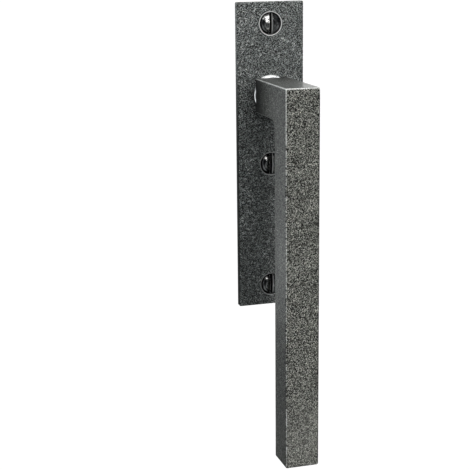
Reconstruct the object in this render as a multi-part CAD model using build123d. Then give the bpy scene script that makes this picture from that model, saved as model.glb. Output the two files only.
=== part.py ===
"""Lever handle for a sliding door: a square bar on a long screwed backplate.

Millimetres. The origin is on the spindle's axis, in the plane of the backplate's back face, which lies
against the door. X points right as seen from the room, Y points into the door, and Z points up.
The lever hangs straight down, and turns on the Y axis.
"""

from build123d import *
import math
import os

# Backplate
plate_width = 50.0
plate_height = 225.0
plate_thickness = 5.0
plate_corner_round = 1.0
plate_edge_round = 0.7
spindle_below_top = 66.5

# Fixing screws, 8 mm, with slotted raised countersunk heads
screw_end_margin = 15.5
screw_length = 50.0
screw_thread_radius = 4.0
screw_thread_length = 38.0
screw_thread_run_out = 0.4
screw_tip_chamfer = 0.4
screw_head_radius = 7.6
screw_head_land = 0.3
screw_dome_rise = 2.1
screw_slot_width = 2.5
screw_slot_depth = 2.8
screw_hole_clearance = 0.2
countersink_rim = 0.7
head_seat_gap = 0.05

# Lever, a square neck and a square bar of the same stock
bar_side = 25.0
lever_projection = 70.0
lever_reach = 262.0
elbow_round = 8.0
lever_edge_round = 1.5
neck_end_chamfer = 0.5

# Spindle and the screw that holds it in the neck
spindle_side = 10.0
spindle_length = 100.0
spindle_reach = 65.0
spindle_edge_round = 0.4
spindle_end_chamfer = 0.8
socket_clearance = 0.05
socket_end_gap = 0.5
grub_radius = 3.0
grub_length = 6.0
grub_point_chamfer = 0.4
grub_hex_width = 3.0
grub_hex_depth = 2.5
grub_hole_clearance = 0.05
grub_from_neck_end = 12.0

# Turned spigot on the neck, and the parts that it turns in
spigot_wall = 1.85
spigot_past_plate = 1.5
spigot_end_chamfer = 0.5
running_clearance = 0.05
fixed_clearance = 0.03
neck_running_gap = 0.3
bush_wall = 1.45
bush_flange_width = 1.4
bush_flange_thickness = 1.0
collar_wall = 1.4
collar_shoulder = 1.75
collar_height = 3.0
collar_chamfer = 1.0

# Washers and retaining ring in the recess of the plate's back
thrust_washer_thickness = 0.8
thrust_washer_overlap = 1.5
washer_bore_clearance = 0.1
spring_washer_thickness = 0.3
spring_washer_height = 0.7
spring_washer_band = 3.2
spring_washer_end_gap = 0.1
ring_thickness = 1.2
ring_groove_depth = 0.5
ring_groove_play = 0.05
ring_back_width = 2.4
ring_tip_width = 1.5
ring_gap_angle = 34.0
ring_eye_radius = 1.0
ring_lug_radius = 2.0
recess_clearance = 0.5

# Places along Y, worked out from the sizes above
plate_back = 0.0
plate_front = plate_back - plate_thickness
collar_front = plate_front - collar_height
neck_back = collar_front - neck_running_gap
bar_front = plate_front - lever_projection
bar_back = bar_front + bar_side
ring_front = plate_back - ring_thickness
spring_washer_room = spring_washer_height + spring_washer_end_gap
recess_floor = ring_front - spring_washer_room - thrust_washer_thickness

# Radii about the spindle's axis, each built on the one inside it
socket_side = spindle_side + 2 * socket_clearance
spigot_radius = socket_side / math.sqrt(2) + spigot_wall
ring_groove_radius = spigot_radius - ring_groove_depth
bush_bore = spigot_radius + running_clearance
bush_radius = bush_bore + bush_wall
bush_flange_radius = bush_radius + bush_flange_width
collar_bore = bush_radius + fixed_clearance
collar_barrel_radius = collar_bore + collar_wall
collar_radius = collar_barrel_radius + collar_shoulder
plate_bore = collar_barrel_radius + fixed_clearance
thrust_washer_radius = plate_bore + thrust_washer_overlap
recess_radius = thrust_washer_radius + recess_clearance

# Heights along Z
plate_top = spindle_below_top
plate_bottom = plate_top - plate_height
screw_places = {
    "screw_top": plate_top - screw_end_margin,
    "screw_middle": screw_end_margin - plate_top,
    "screw_bottom": plate_bottom + screw_end_margin,
}

# Countersink and screw head share one 90 degree cone, so a radius and a depth on it change together.
screw_hole_radius = screw_thread_radius + screw_hole_clearance
screw_shank_radius = screw_thread_radius - screw_thread_run_out
countersink_radius = screw_head_radius + countersink_rim
head_seat = plate_front + countersink_rim - head_seat_gap * math.sqrt(2)


def turned(*outline):
    """A turned solid from its half outline, given as points of radius and Y."""
    return revolve(make_face(Polyline(*outline, close=True)), Axis.Y)


def slab(sketch, front, back):
    """A flat piece cut to a sketch that is seen from the room, from its front to its back along Y."""
    return extrude(Plane.XZ.offset(-back) * sketch, back - front)


def backplate():
    """Long flat plate with broken front edges, three countersunk holes and a stepped bore."""
    face = Pos(0, (plate_top + plate_bottom) / 2) * RectangleRounded(
        plate_width, plate_height, plate_corner_round
    )
    plate = slab(face, plate_front, plate_back)
    plate = fillet(plate.faces().sort_by(Axis.Y)[0].edges(), plate_edge_round)

    countersink = turned(
        (0, plate_front - countersink_radius),
        (2 * countersink_radius, plate_front - countersink_radius),
        (0, plate_front + countersink_radius),
    )
    for height in screw_places.values():
        plate -= slab(Pos(0, height) * Circle(screw_hole_radius), plate_front, plate_back)
        plate -= Pos(0, 0, height) * countersink

    plate -= slab(Circle(plate_bore), plate_front, plate_back)
    plate -= slab(Circle(recess_radius), recess_floor, plate_back)
    return plate


def fixing_screw():
    """Countersunk screw on the Y axis, with a domed, slotted head and a plain shank above its thread."""
    cone_end = head_seat + screw_head_radius - screw_shank_radius
    tip = head_seat + screw_length
    thread_start = tip - screw_thread_length
    crown = head_seat - screw_head_land - screw_dome_rise
    dome_radius = (screw_head_radius**2 + screw_dome_rise**2) / (2 * screw_dome_rise)
    blank = slab(Circle(screw_head_radius), crown - screw_dome_rise, head_seat)
    head = blank & Pos(0, crown + dome_radius, 0) * Sphere(dome_radius)
    shank = turned(
        (0, head_seat),
        (screw_head_radius, head_seat),
        (screw_shank_radius, cone_end),
        (screw_shank_radius, thread_start),
        (screw_thread_radius, thread_start + screw_thread_run_out),
        (screw_thread_radius, tip - screw_tip_chamfer),
        (screw_thread_radius - screw_tip_chamfer, tip),
        (0, tip),
    )
    slot = Rectangle(screw_slot_width, 2 * screw_head_radius + screw_head_land)
    return head + shank - slab(slot, crown, crown + screw_slot_depth)


def lever():
    """Elbow of square stock, with a turned spigot and a square socket in the neck's back end."""
    half = bar_side / 2
    outline = Polyline(
        (neck_back, half),
        (bar_front, half),
        (bar_front, -lever_reach),
        (bar_back, -lever_reach),
        (bar_back, -half),
        (neck_back, -half),
        close=True,
    )
    stock = extrude(Plane.YZ * make_face(outline), half, both=True)
    corners = stock.edges().filter_by(Axis.X)
    top_corner = corners.group_by(Axis.Y)[0].sort_by(Axis.Z)[-1]
    toe_corners = corners.group_by(Axis.Z)[0]
    stock = fillet([top_corner, *toe_corners], lever_edge_round)
    inside_corner = stock.edges().filter_by(Axis.X).filter_by_position(Axis.Z, -half, -half)
    stock = fillet(inside_corner.sort_by(Axis.Y)[0], elbow_round)
    side_edges = stock.faces().filter_by(Axis.X).edges()
    long_edges = side_edges.filter_by_position(Axis.Y, bar_front, neck_back - elbow_round)
    stock = fillet(long_edges, lever_edge_round)
    stock = chamfer(stock.faces().sort_by(Axis.Y)[-1].edges(), neck_end_chamfer)

    spigot_end = plate_back + spigot_past_plate
    stock += turned(
        (0, neck_back - neck_end_chamfer),
        (spigot_radius, neck_back - neck_end_chamfer),
        (spigot_radius, ring_front - ring_groove_play),
        (ring_groove_radius, ring_front - ring_groove_play),
        (ring_groove_radius, plate_back + ring_groove_play),
        (spigot_radius, plate_back + ring_groove_play),
        (spigot_radius, spigot_end - spigot_end_chamfer),
        (spigot_radius - spigot_end_chamfer, spigot_end),
        (0, spigot_end),
    )

    socket_end = spindle_reach - spindle_length - socket_end_gap
    stock -= slab(Rectangle(socket_side, socket_side), socket_end, spigot_end)
    grub_hole = Cylinder(
        grub_radius + grub_hole_clearance, half, align=(Align.CENTER, Align.CENTER, Align.MAX)
    )
    return stock - Pos(0, neck_back - grub_from_neck_end, 0) * grub_hole


def spindle():
    """Square drive bar, from inside the neck to the lock in the door."""
    bar = slab(Rectangle(spindle_side, spindle_side), spindle_reach - spindle_length, spindle_reach)
    ends = bar.faces().sort_by(Axis.Y)
    bar = chamfer([*ends[0].edges(), *ends[-1].edges()], spindle_end_chamfer)
    return fillet(bar.edges().filter_by(Axis.Y), spindle_edge_round)


def grub_screw():
    """Headless screw with a hexagon socket, pressed against the spindle from below."""
    screw = Cylinder(grub_radius, grub_length, align=(Align.CENTER, Align.CENTER, Align.MAX))
    screw = chamfer(screw.edges().group_by(Axis.Z)[-1], grub_point_chamfer)
    hexagon = RegularPolygon(grub_hex_width / 2, 6, major_radius=False)
    screw -= Pos(0, 0, -grub_length) * extrude(hexagon, grub_hex_depth)
    return Pos(0, neck_back - grub_from_neck_end, -spindle_side / 2) * screw


def collar():
    """Bright ring on the plate's front, with a barrel through the plate and a seat for the bush."""
    ring = turned(
        (collar_bore, recess_floor),
        (collar_bore, collar_front + bush_flange_thickness),
        (bush_flange_radius + fixed_clearance, collar_front + bush_flange_thickness),
        (bush_flange_radius + fixed_clearance, collar_front),
        (collar_radius, collar_front),
        (collar_radius, plate_front),
        (collar_barrel_radius, plate_front),
        (collar_barrel_radius, recess_floor),
    )
    rim = ring.edges().filter_by(GeomType.CIRCLE).group_by(Axis.Y)[0].sort_by(SortBy.RADIUS)[-1]
    return chamfer(rim, collar_chamfer)


def bearing_bush():
    """Flanged nylon bush in which the spigot turns, and whose flange takes the neck's thrust."""
    return turned(
        (bush_bore, recess_floor),
        (bush_bore, collar_front),
        (bush_flange_radius, collar_front),
        (bush_flange_radius, collar_front + bush_flange_thickness),
        (bush_radius, collar_front + bush_flange_thickness),
        (bush_radius, recess_floor),
    )


def thrust_washer():
    """Flat washer on the recess floor, over the joint of plate, collar and bush."""
    band = Circle(thrust_washer_radius) - Circle(spigot_radius + washer_bore_clearance)
    return slab(band, recess_floor, recess_floor + thrust_washer_thickness)


def spring_washer():
    """Thin ring cut from sheet and bowed over a cylinder, which takes up the end play."""
    inner = spigot_radius + washer_bore_clearance
    outer = inner + spring_washer_band
    front = recess_floor + thrust_washer_thickness
    bow = spring_washer_height - spring_washer_thickness
    bend_radius = (outer**2 + bow**2) / (2 * bow)
    sheet = Pos(0, front + bend_radius, 0) * (
        Cylinder(bend_radius, 2 * outer) - Cylinder(bend_radius - spring_washer_thickness, 2 * outer)
    )
    return sheet & slab(Circle(outer) - Circle(inner), front, ring_front)


def retaining_ring():
    """Open ring in the spigot's groove, widest opposite its gap, with an eye in each end for pliers."""
    inner = ring_groove_radius + ring_groove_play
    outer = inner + (ring_back_width + ring_tip_width) / 2
    offset = (ring_back_width - ring_tip_width) / 2
    gap_reach = outer + ring_lug_radius + offset
    half_gap = math.radians(ring_gap_angle / 2)
    gap = make_face(
        Polyline(
            (0, 0),
            (-gap_reach * math.tan(half_gap), gap_reach),
            (gap_reach * math.tan(half_gap), gap_reach),
            close=True,
        )
    )
    band = Pos(0, -offset) * Circle(outer)
    eye_radius_place = inner + ring_lug_radius
    eye_angle = ring_gap_angle / 2 + math.degrees(ring_lug_radius / eye_radius_place)
    for side in (-1, 1):
        eye_place = Rot(0, 0, side * eye_angle) * Pos(0, eye_radius_place)
        band += eye_place * Circle(ring_lug_radius)
    band -= Circle(inner)
    band -= gap
    for side in (-1, 1):
        eye_place = Rot(0, 0, side * eye_angle) * Pos(0, eye_radius_place)
        band -= eye_place * Circle(ring_eye_radius)
    return slab(band, ring_front, plate_back)


pieces = {
    "backplate": backplate(),
    "collar": collar(),
    "bearing_bush": bearing_bush(),
    "lever": lever(),
    "spindle": spindle(),
    "grub_screw": grub_screw(),
    "thrust_washer": thrust_washer(),
    "spring_washer": spring_washer(),
    "retaining_ring": retaining_ring(),
}
for name, height in screw_places.items():
    pieces[name] = Pos(0, 0, height) * fixing_screw()

os.makedirs("parts", exist_ok=True)
for name, piece in pieces.items():
    piece.label = name
    export_step(piece, f"parts/{name}.step")
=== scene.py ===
import bmesh
import bpy
import math
from mathutils import Matrix, Vector


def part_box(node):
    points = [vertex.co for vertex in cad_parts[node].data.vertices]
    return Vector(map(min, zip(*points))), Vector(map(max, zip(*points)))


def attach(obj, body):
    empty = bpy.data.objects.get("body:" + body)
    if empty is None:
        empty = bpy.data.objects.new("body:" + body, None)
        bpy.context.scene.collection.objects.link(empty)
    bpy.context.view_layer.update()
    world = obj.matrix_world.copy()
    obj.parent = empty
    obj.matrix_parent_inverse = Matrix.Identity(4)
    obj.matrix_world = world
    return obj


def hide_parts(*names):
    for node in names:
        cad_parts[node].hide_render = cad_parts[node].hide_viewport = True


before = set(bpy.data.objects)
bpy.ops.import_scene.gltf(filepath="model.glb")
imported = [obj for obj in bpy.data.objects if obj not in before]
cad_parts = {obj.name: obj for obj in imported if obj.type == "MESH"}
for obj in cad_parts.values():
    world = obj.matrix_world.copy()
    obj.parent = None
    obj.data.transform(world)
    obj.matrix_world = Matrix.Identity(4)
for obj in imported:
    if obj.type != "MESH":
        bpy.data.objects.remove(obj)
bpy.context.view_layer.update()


# Camera. It stands to the left of the handle and a little above its top, and looks down at it
# through a long lens. Its turns are in radians, and the picture is square, so the sensor's width
# sets the whole field.
camera_place = Vector((-0.277647, -0.848648, 0.110220))
camera_turn_right = 0.287409
camera_tilt_down = 0.237688
camera_roll = -0.011157
camera_focal_pixels = 1222.387
picture_width = 470
sensor_width = 36
sees_as_far_as = 200

looking = Vector((math.sin(camera_turn_right) * math.cos(camera_tilt_down),
                  math.cos(camera_turn_right) * math.cos(camera_tilt_down),
                  -math.sin(camera_tilt_down)))
level_right = Vector((math.cos(camera_turn_right), -math.sin(camera_turn_right), 0))
level_up = level_right.cross(looking)
picture_right = math.cos(camera_roll) * level_right + math.sin(camera_roll) * level_up
picture_up = math.cos(camera_roll) * level_up - math.sin(camera_roll) * level_right
camera_data = bpy.data.cameras.new("camera")
camera_data.sensor_width = sensor_width
camera_data.lens = camera_focal_pixels / picture_width * sensor_width
camera_data.clip_end = sees_as_far_as
camera = bpy.data.objects.new("camera", camera_data)
camera.matrix_world = (Matrix.Translation(camera_place)
                       @ Matrix((picture_right, picture_up, -looking)).transposed().to_4x4())
bpy.context.scene.collection.objects.link(camera)
bpy.context.scene.camera = camera


# Studio. A white floor lies a metre below the handle, which is lit by a large soft box over the camera,
# a long one overhead, one high on the right, a low fill and a tall strip to each side. The room that
# polished metal mirrors is dark, but for a pale back wall and a band of light on the floor.
floor_depth = -1.05
floor_radius = 60.0
floor_sides = 96
floor_tint = (0.96, 1.0, 1.01, 1)
room_dark = (0.095, 0.100, 0.104, 1)
back_wall = (0.86, 0.90, 0.92, 1)
bright_wall = (1.2, 1.21, 1.19, 1)
plain_white = (1, 1, 1, 1)
white_strength = 1.05
# The back wall begins where a direction of length 1 has gone this far back, and the bright wall on its
# right where it has also gone this far to the right.
back_wall_begins = (0.1, 0.7)
bright_wall_begins = (0.75, 0.9)
bright_wall_begins_right = (0.08, 0.2)
# Each change of the floor's light: where it starts and ends, in metres behind the handle, and how
# strong the light is before and after it.
floor_near = (0.2, 1.2, 0.18, 0.02)
floor_middle = (1.3, 1.8, 0.0, 0.10)
lit_band_rises = (2.52, 3.0, 0.0, 0.81)
lit_band_falls = ((3.2, 4.4, 1.0, 0.48), (5.0, 7.5, 1.0, 0.64))
lamps_aim = Vector((0, -0.03, -0.06))


def fill(tree, sockets, inputs):
    """Sets each of a node's inputs to a value, or joins it to the socket that feeds it."""
    for key, value in inputs.items():
        if isinstance(value, bpy.types.NodeSocket):
            tree.links.new(value, sockets[key])
        else:
            sockets[key].default_value = value


def put(tree, kind, inputs=None, **settings):
    """Adds a node to a tree, with its settings, and fills its inputs."""
    made = tree.nodes.new(kind)
    for name, value in settings.items():
        setattr(made, name, value)
    fill(tree, made.inputs, inputs or {})
    return made


def maths(tree, operation, *values):
    """One step of arithmetic."""
    return put(tree, "ShaderNodeMath", dict(enumerate(values)), operation=operation).outputs[0]


def ramp(tree, value, start, end, low=0.0, high=1.0):
    """Runs smoothly from low to high while value goes from start to end."""
    return put(tree, "ShaderNodeMapRange", {0: value, 1: start, 2: end, 3: low, 4: high},
               interpolation_type="SMOOTHSTEP").outputs[0]


def mixed(tree, share, first, second):
    """The first colour at a share of 0, and the second at 1."""
    return put(tree, "ShaderNodeMix", {"Factor": share, "A": first, "B": second},
               data_type="RGBA").outputs["Result"]


def parts_of(tree, place):
    """The X, Y and Z of a point."""
    return put(tree, "ShaderNodeSeparateXYZ", {0: place}).outputs


def white_to_camera(tree, kind, colour, strength, output):
    """Puts out a glow that mirrors see, and plain white where the camera itself looks at it."""
    mirrored = put(tree, kind, {"Color": colour, "Strength": strength}).outputs[0]
    white = put(tree, kind, {"Color": plain_white, "Strength": white_strength}).outputs[0]
    from_camera = put(tree, "ShaderNodeLightPath").outputs["Is Camera Ray"]
    both = put(tree, "ShaderNodeMixShader", {0: from_camera, 1: mirrored, 2: white}).outputs[0]
    put(tree, output, {"Surface": both})


bpy.context.scene.view_settings.view_transform = "Standard"
room = bpy.data.worlds.new("room")
bpy.context.scene.world = room
room.use_nodes = True
tree = room.node_tree
tree.nodes.clear()
towards = parts_of(tree, put(tree, "ShaderNodeTexCoord").outputs["Generated"])
walls = mixed(tree, ramp(tree, towards["Y"], *back_wall_begins), room_dark, back_wall)
on_the_right = maths(tree, "MULTIPLY", ramp(tree, towards["X"], *bright_wall_begins_right),
                     ramp(tree, towards["Y"], *bright_wall_begins))
walls = mixed(tree, on_the_right, walls, bright_wall)
white_to_camera(tree, "ShaderNodeBackground", walls, 1.0, "ShaderNodeOutputWorld")

floor_paint = bpy.data.materials.new("white floor")
floor_paint.use_nodes = True
tree = floor_paint.node_tree
tree.nodes.clear()
behind = parts_of(tree, put(tree, "ShaderNodeTexCoord").outputs["Object"])["Y"]
near = maths(tree, "ADD", ramp(tree, behind, *floor_near), ramp(tree, behind, *floor_middle))
lit_band = ramp(tree, behind, *lit_band_rises)
for fall in lit_band_falls:
    lit_band = maths(tree, "MULTIPLY", lit_band, ramp(tree, behind, *fall))
white_to_camera(tree, "ShaderNodeEmission", floor_tint, maths(tree, "ADD", near, lit_band),
                "ShaderNodeOutputMaterial")
outline = bmesh.new()
bmesh.ops.create_circle(outline, cap_ends=True, radius=floor_radius, segments=floor_sides,
                        matrix=Matrix.Translation((0, 0, floor_depth)))
floor_mesh = bpy.data.meshes.new("floor")
outline.to_mesh(floor_mesh)
outline.free()
floor_mesh.materials.append(floor_paint)
floor = bpy.data.objects.new("floor", floor_mesh)
bpy.context.scene.collection.objects.link(floor)


def soft_box(name, turn, height, distance, width, tall, roll, radiance, colour):
    """A lit panel aimed at the handle. Turn and height are the degrees at which the handle sees it."""
    turn, height = math.radians(turn), math.radians(height)
    away = Vector((math.sin(turn) * math.cos(height), -math.cos(turn) * math.cos(height), math.sin(height)))
    light = bpy.data.lights.new(name, "AREA")
    light.shape = "RECTANGLE"
    light.size, light.size_y = width, tall
    light.energy = radiance * math.pi * width * tall
    light.color = colour
    lamp = bpy.data.objects.new(name, light)
    lamp.matrix_world = (Matrix.Translation(lamps_aim + away * distance)
                         @ away.to_track_quat("Z", "Y").to_matrix().to_4x4()
                         @ Matrix.Rotation(math.radians(roll), 4, "Z"))
    bpy.context.scene.collection.objects.link(lamp)


soft_box("box over the camera", turn=2, height=31, distance=1.5, width=1.25, tall=1.25, roll=45,
         radiance=2.9, colour=(1.0, 0.985, 0.96))
soft_box("strip on the right", turn=17, height=3, distance=1.6, width=0.42, tall=2.0, roll=0,
         radiance=0.33, colour=(1.0, 0.99, 0.97))
soft_box("low fill", turn=17, height=-34, distance=1.3, width=0.6, tall=0.5, roll=0,
         radiance=1.95, colour=(1.0, 0.99, 0.96))
soft_box("long box overhead", turn=30, height=76, distance=1.3, width=3.6, tall=0.5, roll=-30,
         radiance=2.0, colour=(1.0, 1.0, 1.0))
soft_box("box high on the right", turn=82, height=40, distance=1.4, width=0.5, tall=0.7, roll=0,
         radiance=1.5, colour=(1.0, 1.0, 1.0))
soft_box("strip on the left", turn=-74, height=-8, distance=1.4, width=0.28, tall=1.5, roll=0,
         radiance=1.05, colour=(0.95, 0.98, 1.0))


# Backplate. It is cast in grey iron with a fine crystalline skin, waxed dark, and ground flat on its
# back. The rims of its three countersinks and the top of its bore are cut bright, with painted shade
# making them darker towards the bottom. Painted shade darkens the gap round each screw head, the sides
# and the foot.
plate_low, plate_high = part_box("backplate")
screw_heights = (0.051, -0.051, -0.143)
countersink_edge = 0.0086
countersink_gap = 0.0082
bore_edge = 0.0141
bore_bright_above = (0.008, 0.010)
finish_change = 0.0001
cut_shade_fades_up = (-0.06, 0.04)
cut_low, cut_high = (0.40, 0.41, 0.41, 1), (0.93, 0.94, 0.94, 1)
cut_less_metallic = 0.35
ground_stretch = (2600, 60, 60)
ground_dark, ground_light = (0.42, 0.42, 0.41, 1), (0.66, 0.66, 0.65, 1)
ground_share = 0.75
bare_roughness = 0.42
# Painted shade: the tone of the gap round each screw head, and of the plate's sides and foot.
gap_shade_tone = (0.012, 0.012, 0.012, 1)
edge_shade_tone, edge_shade_share, edge_shade_roughness = (0.010, 0.011, 0.011, 1), 0.85, 0.75
edge_shade_starts, edge_shade_full = 0.0006, 0.0003
edge_shade_down = (0.04, -0.03)
even_tone, evens_down = (0.072, 0.077, 0.075, 1), (-0.07, -0.11, 0.0, 0.15)
skin_depth = 0.00012
skin_metallic = 0.6
wax_gloss, wax_roughness = 0.5, 0.2
# The skin's patterns, in bumps to the metre, and how strong each is where its noise is 0 and 1.
wander_scale, wander_reach = 2600.0, 0.0003
fine_to_grain, fine_strength = 1.3, (0.2, 1.8)
mottling_scale, mottling_strength = 210.0, (0.85, 1.15)
patch_scale, patch_height = 34.0, 1.2
grain_roughness, rough_adds = (0.38, 0.24), 0.14
smooth_keeps_light, smooth_keeps_height = 0.25, 0.2
# A cell has a spot where its draw passes the chance, and a spot fades over its rim. Scratches are long
# spots, leaning both ways, that come in clumps.
glint_chance = (0.90, 0.98)
pit_scale, pit_rim, pit_chance, pit_share = 170.0, (0.17, 0.08), (0.70, 0.74), 0.75
stroke_rim, stroke_chance, stroke_strength = (0.23, 0.15), (0.70, 0.72), (0.1, 1.3)
stroke_size = (0.0010, 0.0034, 0.0056)
stroke_leans_and_shifts = ((0.7, 0.0), (-1.1, 0.31))
clump_scale, clump_edge = 70.0, (0.47, 0.53)


def effect(name, inputs, outputs):
    """Starts a shader node group and gives back its tree, its inputs' node and its outputs' node."""
    tree = bpy.data.node_groups.new(name, "ShaderNodeTree")
    for word, kind, value in inputs:
        made = tree.interface.new_socket(word, in_out="INPUT", socket_type="NodeSocket" + kind)
        if value is not None:
            made.default_value = value
    for word, kind in outputs:
        tree.interface.new_socket(word, in_out="OUTPUT", socket_type="NodeSocket" + kind)
    return tree, tree.nodes.new("NodeGroupInput").outputs, tree.nodes.new("NodeGroupOutput").inputs


def vectors(tree, operation, *values):
    """One step of arithmetic with vectors."""
    made = put(tree, "ShaderNodeVectorMath", dict(enumerate(values)), operation=operation)
    return made.outputs["Value" if operation == "LENGTH" else "Vector"]


def between(tree, share, low, high):
    """Runs straight from low to high while share goes from 0 to 1."""
    return maths(tree, "MULTIPLY_ADD", share, high - low, low)


def noise(tree, place, scale, detail=2.0, roughness=0.55):
    """An even noise of about 0 to 1, with scale bumps to the metre."""
    return put(tree, "ShaderNodeTexNoise",
               {"Vector": place, "Scale": scale, "Detail": detail, "Roughness": roughness}).outputs["Fac"]


def cells(tree, place, scale):
    """Scattered cells: how far a point is from its cell's middle, and the cell's own three draws."""
    made = put(tree, "ShaderNodeTexVoronoi", {"Vector": place, "Scale": scale}).outputs
    return made["Distance"], put(tree, "ShaderNodeSeparateColor", {0: made["Color"]}).outputs


def spots(tree, place, scale, rim, chance):
    """A spot in the middle of some of the cells."""
    away, draws = cells(tree, place, scale)
    return maths(tree, "MULTIPLY", ramp(tree, away, *rim), ramp(tree, draws[0], *chance))


cast_skin, given, result = effect(
    "cast skin",
    (("Place", "Vector", None), ("Dark", "Color", (0.02, 0.02, 0.02, 1)),
     ("Light", "Color", (0.3, 0.3, 0.3, 1)), ("Glint and scratch", "Color", (0.6, 0.6, 0.6, 1)),
     ("Grain", "Float", 1150.0), ("Contrast", "Float", 2.0), ("Patches", "Float", 1.0),
     ("Pits", "Float", 1.0), ("Smooth", "Float", 0.0), ("Scratches", "Float", 0.0)),
    (("Color", "Color"), ("Roughness", "Float"), ("Height", "Float")))
tree = cast_skin
place = given["Place"]
rough = maths(tree, "SUBTRACT", 1.0, given["Smooth"])
wander = put(tree, "ShaderNodeTexNoise",
             {"Vector": place, "Scale": wander_scale, "Detail": 1.0}).outputs["Color"]
wandering = vectors(tree, "MULTIPLY_ADD", wander, (wander_reach, wander_reach, wander_reach), place)
crystals = cells(tree, wandering, given["Grain"])[1]
fine = noise(tree, place, maths(tree, "MULTIPLY", given["Grain"], fine_to_grain), 2.0, 0.6)
mottling = noise(tree, place, mottling_scale, 3.0, 0.6)
patches = noise(tree, place, patch_scale, 2.0, 0.5)
drift = maths(tree, "MULTIPLY_ADD", maths(tree, "SUBTRACT", patches, 0.5), given["Patches"], 1.0)
level = maths(tree, "POWER", crystals[0], given["Contrast"])
for strength in (between(tree, fine, *fine_strength), between(tree, mottling, *mottling_strength), drift,
                 between(tree, rough, smooth_keeps_light, 1.0)):
    level = maths(tree, "MULTIPLY", level, strength)
# Painted glints: some crystals are drawn in a bright colour, which the scratches share.
painted_glints = maths(tree, "MULTIPLY", ramp(tree, crystals[1], *glint_chance), drift)
painted_glints = maths(tree, "MULTIPLY", painted_glints, rough)
scratched = 0.0
for lean, shift in stroke_leans_and_shifts:
    leaning = put(tree, "ShaderNodeMapping",
                  {"Vector": place, "Location": (shift, 0, 0), "Rotation": (0, lean, 0),
                   "Scale": stroke_size}, vector_type="TEXTURE").outputs[0]
    scratched = maths(tree, "MAXIMUM", scratched, spots(tree, leaning, 1.0, stroke_rim, stroke_chance))
clumps = ramp(tree, noise(tree, place, clump_scale, 1.0, 0.5), *clump_edge)
for strength in (clumps, given["Scratches"], between(tree, fine, *stroke_strength)):
    scratched = maths(tree, "MULTIPLY", scratched, strength)
pits = maths(tree, "MULTIPLY", spots(tree, place, pit_scale, pit_rim, pit_chance), given["Pits"])
colour = mixed(tree, level, given["Dark"], given["Light"])
colour = mixed(tree, painted_glints, colour, given["Glint and scratch"])
colour = mixed(tree, scratched, colour, given["Glint and scratch"])
raised = maths(tree, "SUBTRACT", maths(tree, "MULTIPLY_ADD", patches, patch_height, level), pits)
fill(tree, result, {
    "Color": mixed(tree, maths(tree, "MULTIPLY", pits, pit_share), colour, given["Dark"]),
    "Roughness": maths(tree, "MULTIPLY_ADD", rough, rough_adds, between(tree, level, *grain_roughness)),
    "Height": maths(tree, "MULTIPLY", raised, between(tree, rough, smooth_keeps_height, 1.0))})


def finish(name, metallic=1.0, attribute=None):
    """A new finish: its material, its tree, the coordinates that it reads, and its shader's inputs."""
    material = bpy.data.materials.new(name)
    material.use_nodes = True
    tree = material.node_tree
    shader = tree.nodes["Principled BSDF"].inputs
    shader["Metallic"].default_value = metallic
    if attribute:
        place = put(tree, "ShaderNodeAttribute", attribute_name=attribute).outputs["Vector"]
    else:
        place = put(tree, "ShaderNodeTexCoord").outputs["Object"]
    return material, tree, place, shader


def bump(tree, height, depth):
    """A normal from a height, where depth is the height of one unit, in metres."""
    return put(tree, "ShaderNodeBump", {"Height": height, "Distance": depth, "Strength": 1.0}).outputs[0]


def from_axis(tree, place, height):
    """How far a point is from an axis that runs front to back at that height."""
    apart = vectors(tree, "SUBTRACT", place, (0, 0, height))
    return vectors(tree, "LENGTH", vectors(tree, "MULTIPLY", apart, (1, 0, 1)))


plate_iron, tree, place, shader = finish("waxed cast iron, plate")
skin = put(tree, "ShaderNodeGroup",
           {"Place": place, "Dark": (0.002, 0.003, 0.003, 1), "Light": (0.515, 0.566, 0.558, 1),
            "Glint and scratch": (0.80, 0.83, 0.82, 1), "Grain": 2600.0, "Contrast": 4.5, "Patches": 0.7,
            "Scratches": 2.6}, node_tree=cast_skin).outputs
spot = parts_of(tree, place)
machined = ramp(tree, from_axis(tree, place, 0.0), bore_edge + finish_change, bore_edge)
machined = maths(tree, "MULTIPLY", machined, ramp(tree, spot["Z"], *bore_bright_above))
gap_shade = 0.0
for height in screw_heights:
    apart = from_axis(tree, place, height)
    rim = ramp(tree, apart, countersink_edge + finish_change, countersink_edge)
    machined = maths(tree, "MAXIMUM", machined, rim)
    # Painted shade: a dark ring in the gap round each screw head.
    gap = ramp(tree, apart, countersink_gap + finish_change / 2, countersink_gap - finish_change / 2)
    gap_shade = maths(tree, "MAXIMUM", gap_shade, gap)
ground = ramp(tree, spot["Y"], plate_high.y - 1.5 * finish_change, plate_high.y - 0.5 * finish_change)
in_front = maths(tree, "SUBTRACT", 1.0, ground)
cut = maths(tree, "MULTIPLY", machined, in_front)
bared = maths(tree, "MAXIMUM", machined, ground)
# Painted shade: the sides, more towards the bottom, and the foot are darkened, made rough and left without
# coat.
near_side = ramp(tree, maths(tree, "ABSOLUTE", spot["X"]),
                 plate_high.x - edge_shade_starts, plate_high.x - edge_shade_full)
near_foot = ramp(tree, spot["Z"], plate_low.z + edge_shade_starts, plate_low.z + edge_shade_full)
edges = maths(tree, "MULTIPLY", near_side, ramp(tree, spot["Z"], *edge_shade_down))
edges = maths(tree, "MAXIMUM", edges, near_foot)
grinding = noise(tree, vectors(tree, "MULTIPLY", place, ground_stretch), 1.0, 3.0, 0.6)
colour = mixed(tree, ramp(tree, spot["Z"], *evens_down), skin["Color"], even_tone)
colour = mixed(tree, maths(tree, "MULTIPLY", edges, edge_shade_share), colour, edge_shade_tone)
colour = mixed(tree, maths(tree, "MULTIPLY", ground, ground_share), colour,
               mixed(tree, grinding, ground_dark, ground_light))
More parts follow.
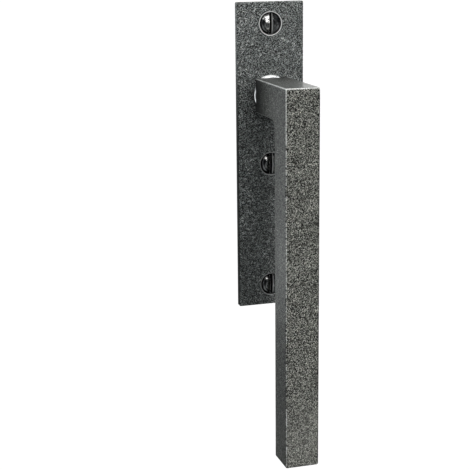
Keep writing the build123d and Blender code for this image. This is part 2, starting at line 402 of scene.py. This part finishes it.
# The cut rims are painted darker towards the bottom, a painted shade.
colour = mixed(tree, cut, colour, mixed(tree, ramp(tree, spot["Z"], *cut_shade_fades_up), cut_low, cut_high))
colour = mixed(tree, maths(tree, "MULTIPLY", gap_shade, in_front), colour, gap_shade_tone)
dull = ramp(tree, edges, 0.0, 1.0, skin["Roughness"], edge_shade_roughness)
raised = maths(tree, "MULTIPLY", skin["Height"], maths(tree, "SUBTRACT", 1.0, bared))
fill(tree, shader, {
    "Base Color": colour,
    "Metallic": maths(tree, "SUBTRACT", ramp(tree, ground, 0.0, 1.0, skin_metallic, 1.0),
                      maths(tree, "MULTIPLY", cut, cut_less_metallic)),
    "Roughness": ramp(tree, bared, 0.0, 1.0, dull, bare_roughness),
    "Coat Weight": ramp(tree, edges, 0.0, 1.0, wax_gloss, 0.0),
    "Coat Roughness": wax_roughness,
    "Normal": bump(tree, raised, skin_depth)})
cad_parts["backplate"].material_slots[0].material = plate_iron


# Bearing of the lever. A turned steel collar with a polished rim is pressed into the plate's bore and
# shows round the neck, and the lower part of its outer corner is painted dark and rough, a painted shade.
# A flanged nylon bush inside it, which doesn't show, carries the lever.
cloud_edge = (0.3, 0.7)
waver_scale, waver_depth = 120.0, 1.6
smudge_scale, smudge_roughness = 260.0, (0.25, 0.8, 0.12, 0.30)
turning_depth = 0.000004
collar_corner, corner_shade_down = (0.01315, 0.01325), (0.006, 0.003)
shaded_corner_tone, dull_corner_roughness = (0.11, 0.11, 0.11, 1), 0.6

clouded_finish, given, result = effect(
    "clouded finish",
    (("Place", "Vector", None), ("Scale", "Float", 300.0), ("Detail", "Float", 3.0),
     ("Fineness", "Float", 0.55), ("Dark", "Color", (0.1, 0.1, 0.1, 1)),
     ("Light", "Color", (0.5, 0.5, 0.5, 1)), ("Smoothest", "Float", 0.3), ("Roughest", "Float", 0.5)),
    (("Color", "Color"), ("Roughness", "Float"), ("Height", "Float")))
tree = clouded_finish
cloud = noise(tree, given["Place"], given["Scale"], given["Detail"], given["Fineness"])
fill(tree, result, {"Color": mixed(tree, cloud, given["Dark"], given["Light"]),
                    "Roughness": ramp(tree, cloud, *cloud_edge, given["Smoothest"], given["Roughest"]),
                    "Height": cloud})

nylon, tree, place, shader = finish("natural nylon", metallic=0.0)
look = put(tree, "ShaderNodeGroup",
           {"Place": place, "Scale": 300.0, "Dark": (0.66, 0.64, 0.57, 1), "Light": (0.78, 0.77, 0.71, 1),
            "Smoothest": 0.38, "Roughest": 0.52}, node_tree=clouded_finish).outputs
fill(tree, shader, {"Base Color": look["Color"], "Roughness": look["Roughness"],
                    "Subsurface Weight": 0.3, "Subsurface Radius": (0.001, 0.0009, 0.0007)})
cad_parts["bearing_bush"].material_slots[0].material = nylon

turned_steel, given, result = effect(
    "turned steel",
    (("Distance", "Float", 0.0), ("Place", "Vector", None), ("Grooves", "Float", 9000.0),
     ("Dark", "Color", (0.5, 0.5, 0.5, 1)), ("Light", "Color", (0.8, 0.8, 0.8, 1))),
    (("Color", "Color"), ("Roughness", "Float"), ("Height", "Float")))
tree = turned_steel
waver = noise(tree, given["Place"], waver_scale, 2.0)
turning = maths(tree, "MULTIPLY", given["Distance"], given["Grooves"])
turning = maths(tree, "SINE", maths(tree, "MULTIPLY_ADD", waver, waver_depth, turning))
smudge = noise(tree, given["Place"], smudge_scale, 3.0)
fill(tree, result, {"Color": mixed(tree, smudge, given["Dark"], given["Light"]),
                    "Roughness": ramp(tree, smudge, *smudge_roughness),
                    "Height": between(tree, turning, 0.5, 1.0)})

collar_steel, tree, place, shader = finish("polished turned steel")
radius = from_axis(tree, place, 0.0)
look = put(tree, "ShaderNodeGroup",
           {"Distance": radius, "Place": place, "Dark": (0.66, 0.67, 0.68, 1),
            "Light": (0.86, 0.87, 0.88, 1)}, node_tree=turned_steel).outputs
# Painted shade: the collar's outer corner, towards the bottom, is darkened and made rough.
corner = maths(tree, "MULTIPLY", ramp(tree, radius, *collar_corner),
               ramp(tree, parts_of(tree, place)["Z"], *corner_shade_down))
fill(tree, shader, {
    "Base Color": mixed(tree, corner, look["Color"], shaded_corner_tone),
    "Roughness": ramp(tree, corner, 0.0, 1.0, look["Roughness"], dull_corner_roughness),
    "Normal": bump(tree, look["Height"], turning_depth)})
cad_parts["collar"].material_slots[0].material = collar_steel


# Lever. Neck and bar are one iron casting, square in section and waxed dark like the plate. The bar's
# front keeps its skin and the other faces are wiped smooth. The left and top edges are bright in places,
# partly rubbed by hands and partly a painted highlight, a painted highlight runs along the top front edge,
# and the spigot behind the neck is turned. Painted shade darkens the neck towards its back and the bar's
# right edge, painted light lightens the bar's foot, and painted reflections streak the top face.
lever_low, lever_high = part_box("lever")
bar_width = 0.025
neck_back = -0.0083
bar_high = (lever_high.x, lever_low.y + bar_width, lever_high.z)
neck_low, neck_high = (lever_low.x, lever_low.y, -lever_high.z), (lever_high.x, neck_back, lever_high.z)
front, top, right = lever_low.y, lever_high.z, lever_high.x
# How far behind the front the wiped faces start, and how far in from an edge each line along it does.
wiped_behind, wiped_smooth = (0.0003, 0.0008), 0.5
reflection_under_top, gloss_under_top, line_in_from_edge = (0.0005, 0.0001), (0.0007, 0.0002), (0.0008, 0.0004)
combing, combing_height = (40, 260, 70), 3.0
# Where hands touch: towards the left side, and towards the top.
touched_left, touched_top = (0.004, -0.008), (0.006, 0.012)
# A rubbed edge shows where a noise passes a threshold, which changes along the bar, and chips break it.
broken_scale, chip_scale = 420.0, 900.0
threshold_down, threshold_at_top = (-0.155, -0.125, 0.46, 0.42), (-0.030, -0.010, 0.0, -0.12)
threshold_width = 0.12
chips_in_top_highlight, chips_in_rub = (0.38, 0.46), (0.42, 0.52, 0.40, 1.0)
# Painted marks among these tones: the rubbed edges' bright tone is partly wear and partly a painted
# highlight, the top's lighter streaks are a painted reflection, the neck's and the right edge's dark tones
# are painted shade, and the foot's lighter tone is painted light.
rub_and_highlight_tone, rub_metallic, rub_roughness = (0.95, 0.965, 0.945, 1), 0.25, 0.36
top_reflection_tone, top_reflection_back = (0.24, 0.25, 0.24, 1), (-0.026, -0.046)
top_reflection_streaks = (0.35, 0.6, 0.1, 0.45)
neck_shade_tone, neck_shade_full = (0.012, 0.012, 0.013, 1), 0.9
neck_shade_starts, neck_shade_ends = 0.024, 0.002
foot_painted_light, foot_light_down = (0.62, 0.62, 0.57, 1), (-0.19, -0.25, 0.0, 0.07)
right_shade, right_shade_share = (0.010, 0.010, 0.010, 1), 0.8
turned_spigot = (0.62, 0.62, 0.61, 1)
front_gloss, side_gloss, top_gloss_less = 0.12, 0.45, 0.06

rubbed_edges, given, result = effect(
    "rubbed edges",
    (("Place", "Vector", None), ("Low", "Vector", (0, 0, 0)), ("High", "Vector", (1, 1, 1)),
     ("Start", "Float", 0.00013), ("End", "Float", 0.00028)),
    (("Rub", "Float"),))
tree = rubbed_edges
nearest = parts_of(tree, vectors(tree, "MINIMUM", vectors(tree, "SUBTRACT", given["Place"], given["Low"]),
                                 vectors(tree, "SUBTRACT", given["High"], given["Place"])))
deep = maths(tree, "MINIMUM", maths(tree, "MINIMUM", nearest[0], nearest[1]), nearest[2])
fill(tree, result, {"Rub": ramp(tree, deep, given["Start"], given["End"])})

lever_iron, tree, place, shader = finish("waxed cast iron, lever")
spot = parts_of(tree, place)
wiped = ramp(tree, spot["Y"], front + wiped_behind[0], front + wiped_behind[1], 0.0, wiped_smooth)
streaks = noise(tree, vectors(tree, "MULTIPLY", place, combing), 1.0, 2.0, 0.6)
skin = put(tree, "ShaderNodeGroup",
           {"Place": place, "Dark": (0.004, 0.004, 0.0035, 1), "Light": (0.68, 0.707, 0.64, 1),
            "Glint and scratch": (0.90, 0.90, 0.83, 1), "Grain": 2700.0, "Contrast": 5.2, "Patches": 0.6,
            "Smooth": wiped, "Scratches": 0.9}, node_tree=cast_skin).outputs
bar_rub = put(tree, "ShaderNodeGroup", {"Place": place, "Low": lever_low, "High": bar_high},
              node_tree=rubbed_edges).outputs["Rub"]
neck_rub = put(tree, "ShaderNodeGroup", {"Place": place, "Low": neck_low, "High": neck_high},
               node_tree=rubbed_edges).outputs["Rub"]
touched = maths(tree, "MAXIMUM", ramp(tree, spot["X"], *touched_left), ramp(tree, spot["Z"], *touched_top))
broken = noise(tree, place, broken_scale, 2.0, 0.7)
chipped = noise(tree, place, chip_scale, 2.0, 0.7)
threshold = maths(tree, "ADD", ramp(tree, spot["Z"], *threshold_down),
                  ramp(tree, spot["Z"], *threshold_at_top))
shows = ramp(tree, broken, threshold, maths(tree, "ADD", threshold, threshold_width))
# The rubbed edges are painted bright: partly wear where hands touch, partly a painted highlight.
rub_and_highlight = maths(tree, "MULTIPLY", maths(tree, "MAXIMUM", bar_rub, neck_rub),
            maths(tree, "MULTIPLY", touched, shows))
starts, full = line_in_from_edge
# A painted highlight along the top front edge, broken by chips.
top_edge_highlight = maths(tree, "MULTIPLY", ramp(tree, spot["Z"], top - starts, top - full),
                 ramp(tree, spot["Y"], front + starts, front + full))
top_edge_highlight = maths(tree, "MULTIPLY", top_edge_highlight, ramp(tree, chipped, *chips_in_top_highlight))
rub_and_highlight = maths(tree, "MAXIMUM", rub_and_highlight, top_edge_highlight)
spigot = ramp(tree, spot["Y"], neck_back + 0.5 * finish_change, neck_back + 1.5 * finish_change)
bared = maths(tree, "MAXIMUM", rub_and_highlight, spigot)
# Painted reflection: lighter streaks on the top face, towards the front.
top_reflection = maths(tree, "MULTIPLY", ramp(tree, spot["Z"], top - reflection_under_top[0], top - reflection_under_top[1]),
             ramp(tree, spot["Y"], *top_reflection_back))
top_reflection = maths(tree, "MULTIPLY", top_reflection, ramp(tree, streaks, *top_reflection_streaks))
# Painted shade: the neck is darkened towards its back, where it meets the collar.
waxed = ramp(tree, spot["Y"], neck_back - neck_shade_starts, neck_back - neck_shade_ends, 0.0, neck_shade_full)
shaded = ramp(tree, spot["X"], right - starts, right - full, 0.0, right_shade_share)
colour = mixed(tree, top_reflection, skin["Color"], top_reflection_tone)
colour = mixed(tree, waxed, colour, neck_shade_tone)
# Painted light: the foot of the bar is lightened.
colour = mixed(tree, ramp(tree, spot["Z"], *foot_light_down), colour, foot_painted_light)
colour = mixed(tree, shaded, colour, right_shade)
rub_and_highlight = maths(tree, "MULTIPLY", rub_and_highlight, ramp(tree, chipped, *chips_in_rub))
colour = mixed(tree, rub_and_highlight, colour, rub_and_highlight_tone)
gloss = ramp(tree, wiped, 0.0, wiped_smooth, front_gloss, side_gloss)
gloss = maths(tree, "SUBTRACT", gloss, ramp(tree, spot["Z"], top - gloss_under_top[0],
                                            top - gloss_under_top[1], 0.0, top_gloss_less))
raised = maths(tree, "MULTIPLY", streaks, wiped)
raised = maths(tree, "MULTIPLY_ADD", raised, combing_height, skin["Height"])
raised = maths(tree, "MULTIPLY", raised, maths(tree, "SUBTRACT", 1.0, bared))
fill(tree, shader, {
    "Base Color": mixed(tree, spigot, colour, turned_spigot),
    "Metallic": maths(tree, "MAXIMUM", spigot, ramp(tree, rub_and_highlight, 0.0, 1.0, skin_metallic, rub_metallic)),
    "Roughness": ramp(tree, bared, 0.0, 1.0, skin["Roughness"], rub_roughness),
    "Coat Weight": gloss,
    "Coat Roughness": wax_roughness,
    "Normal": bump(tree, raised, skin_depth)})
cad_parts["lever"].material_slots[0].material = lever_iron


# Rings behind the plate. A steel washer runs on the plate's back, a bowed spring washer takes up the
# play, and a phosphated retaining ring snaps into the spigot's groove and holds the lever in.
washer_steel, tree, place, shader = finish("bright washer steel")
look = put(tree, "ShaderNodeGroup",
           {"Distance": from_axis(tree, place, 0.0), "Place": place, "Dark": (0.42, 0.42, 0.41, 1),
            "Light": (0.60, 0.60, 0.59, 1)}, node_tree=turned_steel).outputs
fill(tree, shader, {"Base Color": look["Color"], "Roughness": look["Roughness"],
                    "Normal": bump(tree, look["Height"], turning_depth)})
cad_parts["thrust_washer"].material_slots[0].material = washer_steel


def clouded_steel(name, depth, stretch=None, **values):
    """A steel with a clouded finish, or a lined one where its coordinates are stretched."""
    material, tree, place, shader = finish(name)
    if stretch:
        place = vectors(tree, "MULTIPLY", place, stretch)
    look = put(tree, "ShaderNodeGroup", {"Place": place, **values}, node_tree=clouded_finish).outputs
    fill(tree, shader, {"Base Color": look["Color"], "Roughness": look["Roughness"],
                        "Normal": bump(tree, look["Height"], depth)})
    return material


spring_steel = clouded_steel("phosphated spring steel", depth=0.00002, Scale=700.0, Detail=4.0,
                             Fineness=0.65, Dark=(0.035, 0.036, 0.038, 1), Light=(0.12, 0.12, 0.125, 1),
                             Smoothest=0.35, Roughest=0.6)
for name in ("spring_washer", "retaining_ring"):
    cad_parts[name].material_slots[0].material = spring_steel


# Spindle and its grub screw. The square spindle is cut from cold drawn bar, with fine lines along it,
# and the blackened hexagon socket screw in the neck's underside locks it in its socket.
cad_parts["spindle"].material_slots[0].material = clouded_steel(
    "cold drawn steel", depth=0.00001, stretch=(3000, 25, 3000), Scale=1.0, Fineness=0.6,
    Dark=(0.40, 0.40, 0.39, 1), Light=(0.68, 0.68, 0.67, 1), Smoothest=0.22, Roughest=0.38)
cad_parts["grub_screw"].material_slots[0].material = clouded_steel(
    "blackened steel", depth=0.00001, Scale=1500.0, Fineness=0.6,
    Dark=(0.018, 0.019, 0.022, 1), Light=(0.07, 0.07, 0.075, 1), Smoothest=0.28, Roughest=0.42)


# Fixing screws. Three slotted raised countersunk screws with 8 mm rolled threads go through the plate
# into the door. Their heads are polished and darkened, so that they mirror the room. Painted shade darkens
# the slot's floor and a band round the rim, and the slot's walls carry a painted highlight, rough and
# less metallic like cut steel.
screw_land = -0.00467
slot_half_width = 0.00125
slot_edge = 0.00003
behind_slot = -0.0038
rim_shade_band = (0.0066, 0.0070)
ring_scale, smear_scale = 850.0, 240.0
ring_edge = (0.42, 0.57)
head_dark, head_light = (0.03, 0.03, 0.032, 1), (0.52, 0.525, 0.52, 1)
rim_shade_tone, slot_shade_tone = (0.01, 0.01, 0.01, 1), (0.006, 0.006, 0.0065, 1)
shank_tone, slot_wall_highlight_tone = (0.16, 0.16, 0.165, 1), (0.90, 0.91, 0.90, 1)
slot_edge_metallic = 0.3
head_roughness, cut_roughness = (0.3, 0.7, 0.16, 0.08), 0.42
ring_depth = 0.00003
thread_start, thread_end, thread_run_out = 0.0077, 0.04563, 0.0016
thread_crest, thread_root, thread_pitch = 0.0040, 0.00338, 0.00125
thread_flank = (0.12, 0.88)
thread_steps_along, thread_steps_round = 244, 24
thread_closes_within, merge_thread_within = 0.00001, 0.000002
merge_head_within, cut_head_within = 0.000001, 0.0000001
smooth_below = math.radians(28)
hole_heights = ("First height", "Second height", "Third height")
own_place = "place_on_screw"

screw_steel, tree, place, shader = finish("dark polished screw steel", attribute=own_place)
spot = parts_of(tree, place)
radius = from_axis(tree, place, 0.0)
sideways = maths(tree, "ABSOLUTE", spot["X"])
at_slot = maths(tree, "LESS_THAN", spot["Y"], behind_slot)
in_slot = maths(tree, "MULTIPLY", maths(tree, "LESS_THAN", sideways, slot_half_width - slot_edge), at_slot)
# The slot's walls, which carry a painted highlight.
from_wall = maths(tree, "ABSOLUTE", maths(tree, "SUBTRACT", sideways, slot_half_width))
slot_wall_highlight = maths(tree, "MULTIPLY", maths(tree, "LESS_THAN", from_wall, slot_edge), at_slot)
shank = maths(tree, "GREATER_THAN", spot["Y"], screw_land + finish_change)
round_head = put(tree, "ShaderNodeCombineXYZ",
                 {"X": maths(tree, "MULTIPLY", spot["X"], smear_scale),
                  "Y": maths(tree, "MULTIPLY", radius, ring_scale),
                  "Z": maths(tree, "MULTIPLY", spot["Z"], smear_scale)}).outputs[0]
rings = noise(tree, round_head, 1.0, 2.0, 0.6)
colour = mixed(tree, ramp(tree, rings, *ring_edge), head_dark, head_light)
# Painted shade on the rim band and in the slot, and a painted highlight on the slot's walls.
for share, tone in ((ramp(tree, radius, *rim_shade_band), rim_shade_tone), (shank, shank_tone),
                    (slot_wall_highlight, slot_wall_highlight_tone), (in_slot, slot_shade_tone)):
    colour = mixed(tree, share, colour, tone)
dull = maths(tree, "MAXIMUM", maths(tree, "MAXIMUM", in_slot, shank), slot_wall_highlight)
fill(tree, shader, {
    "Base Color": colour,
    "Metallic": ramp(tree, slot_wall_highlight, 0.0, 1.0, 1.0, slot_edge_metallic),
    "Roughness": ramp(tree, dull, 0.0, 1.0, ramp(tree, rings, *head_roughness), cut_roughness),
    "Normal": bump(tree, rings, ring_depth)})

# The thread is a flat sheet that is rolled round the screw. Its length runs along the screw, and its
# radius goes from root to crest and back once in a pitch, runs out at both ends and closes there.
screws_tree = bpy.data.node_groups.new("threaded screws", "GeometryNodeTree")
tree = screws_tree
screw_inputs = (
    ("Head", "Geometry", None), ("Crest radius", "Float", thread_crest),
    ("Root radius", "Float", thread_root), ("Pitch", "Float", thread_pitch),
    ("Start", "Float", thread_start), ("End", "Float", thread_end), ("Run-out", "Float", thread_run_out),
    *((word, "Float", 0.0) for word in hole_heights),
    ("Steps along", "Int", thread_steps_along), ("Steps round", "Int", thread_steps_round),
    ("Steel", "Material", None))
for word, kind, value in screw_inputs:
    made = tree.interface.new_socket(word, in_out="INPUT", socket_type="NodeSocket" + kind)
    if value is not None:
        made.default_value = value
tree.interface.new_socket("Screws", in_out="OUTPUT", socket_type="NodeSocketGeometry")
given = tree.nodes.new("NodeGroupInput").outputs
result = tree.nodes.new("NodeGroupOutput").inputs
sheet = put(tree, "GeometryNodeMeshGrid",
            {"Size X": 1.0, "Size Y": 1.0, "Vertices X": given["Steps along"],
             "Vertices Y": given["Steps round"]}).outputs["Mesh"]
flat = parts_of(tree, put(tree, "GeometryNodeInputPosition").outputs[0])
share = maths(tree, "ADD", flat["X"], 0.5)
turn = maths(tree, "ADD", flat["Y"], 0.5)
length = maths(tree, "SUBTRACT", given["End"], given["Start"])
along = maths(tree, "MULTIPLY_ADD", share, length, given["Start"])
phase = maths(tree, "FRACT", maths(tree, "SUBTRACT", maths(tree, "DIVIDE", along, given["Pitch"]), turn))
flank = maths(tree, "ABSOLUTE", between(tree, phase, -1.0, 1.0))
from_end = maths(tree, "MINIMUM", maths(tree, "SUBTRACT", along, given["Start"]),
                 maths(tree, "SUBTRACT", given["End"], along))
run_out = ramp(tree, maths(tree, "DIVIDE", from_end, given["Run-out"]), 0.0, 1.0)
rise = maths(tree, "MULTIPLY", ramp(tree, flank, *thread_flank), run_out)
height = maths(tree, "SUBTRACT", given["Crest radius"], given["Root radius"])
radius = maths(tree, "MULTIPLY_ADD", rise, height, given["Root radius"])
radius = maths(tree, "MULTIPLY", radius, maths(tree, "GREATER_THAN", from_end, thread_closes_within))
angle = maths(tree, "MULTIPLY", turn, -2 * math.pi)
rolled = put(tree, "ShaderNodeCombineXYZ",
             {"X": maths(tree, "MULTIPLY", radius, maths(tree, "COSINE", angle)), "Y": along,
              "Z": maths(tree, "MULTIPLY", radius, maths(tree, "SINE", angle))}).outputs[0]
thread = put(tree, "GeometryNodeSetPosition", {"Geometry": sheet, "Position": rolled}).outputs[0]
thread = put(tree, "GeometryNodeMergeByDistance",
             {"Geometry": thread, "Distance": merge_thread_within}).outputs[0]
thread = put(tree, "GeometryNodeFlipFaces", {"Mesh": thread}).outputs[0]
thread = put(tree, "GeometryNodeSetShadeSmooth", {"Geometry": thread}).outputs[0]
whole = put(tree, "GeometryNodeJoinGeometry", {0: thread})
tree.links.new(given["Head"], whole.inputs[0])
marked = put(tree, "GeometryNodeStoreNamedAttribute",
             {"Geometry": whole.outputs[0], "Name": own_place,
              "Value": put(tree, "GeometryNodeInputPosition").outputs[0]},
             data_type="FLOAT_VECTOR", domain="POINT").outputs[0]
together = put(tree, "GeometryNodeJoinGeometry")
for word in hole_heights:
    hole = put(tree, "ShaderNodeCombineXYZ", {"Z": given[word]}).outputs[0]
    point = put(tree, "GeometryNodePoints", {"Count": 1, "Position": hole}).outputs[0]
    screw = put(tree, "GeometryNodeInstanceOnPoints", {"Points": point, "Instance": marked}).outputs[0]
    tree.links.new(screw, together.inputs[0])
real = put(tree, "GeometryNodeRealizeInstances", {"Geometry": together.outputs[0]}).outputs[0]
fill(tree, result, {
    0: put(tree, "GeometryNodeSetMaterial", {"Geometry": real, "Material": given["Steel"]}).outputs[0]})

# The head is the top screw's, cut off in front of its thread and moved to the middle of its hole.
blank = bmesh.new()
blank.from_mesh(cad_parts["screw_top"].data)
bmesh.ops.remove_doubles(blank, verts=blank.verts, dist=merge_head_within)
bmesh.ops.bisect_plane(blank, geom=[*blank.verts, *blank.edges, *blank.faces], dist=cut_head_within,
                       plane_co=(0, thread_start, 0), plane_no=(0, 1, 0), clear_outer=True)
bmesh.ops.holes_fill(blank, edges=[edge for edge in blank.edges if edge.is_boundary])
bmesh.ops.translate(blank, verts=blank.verts, vec=(0, 0, -screw_heights[0]))
for polygon in blank.faces:
    polygon.smooth = True
for edge in blank.edges:
    edge.smooth = edge.calc_face_angle(0) < smooth_below
head_mesh = bpy.data.meshes.new("screw heads")
blank.to_mesh(head_mesh)
blank.free()
maker = bpy.data.objects.new("screw maker", head_mesh)
bpy.context.scene.collection.objects.link(maker)
work = maker.modifiers.new("threaded screws", "NODES")
work.node_group = screws_tree
values = dict(zip(hole_heights, screw_heights), Steel=screw_steel)
for item in screws_tree.interface.items_tree:
    if item.name in values and item.in_out == "INPUT":
        work[item.identifier] = values[item.name]
maker.data.update()
made = bpy.data.meshes.new_from_object(maker.evaluated_get(bpy.context.evaluated_depsgraph_get()))
bpy.data.objects.remove(maker)
fixing_screws = bpy.data.objects.new("fixing_screws", made)
bpy.context.scene.collection.objects.link(fixing_screws)
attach(fixing_screws, "mounting")
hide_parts("screw_top", "screw_middle", "screw_bottom")
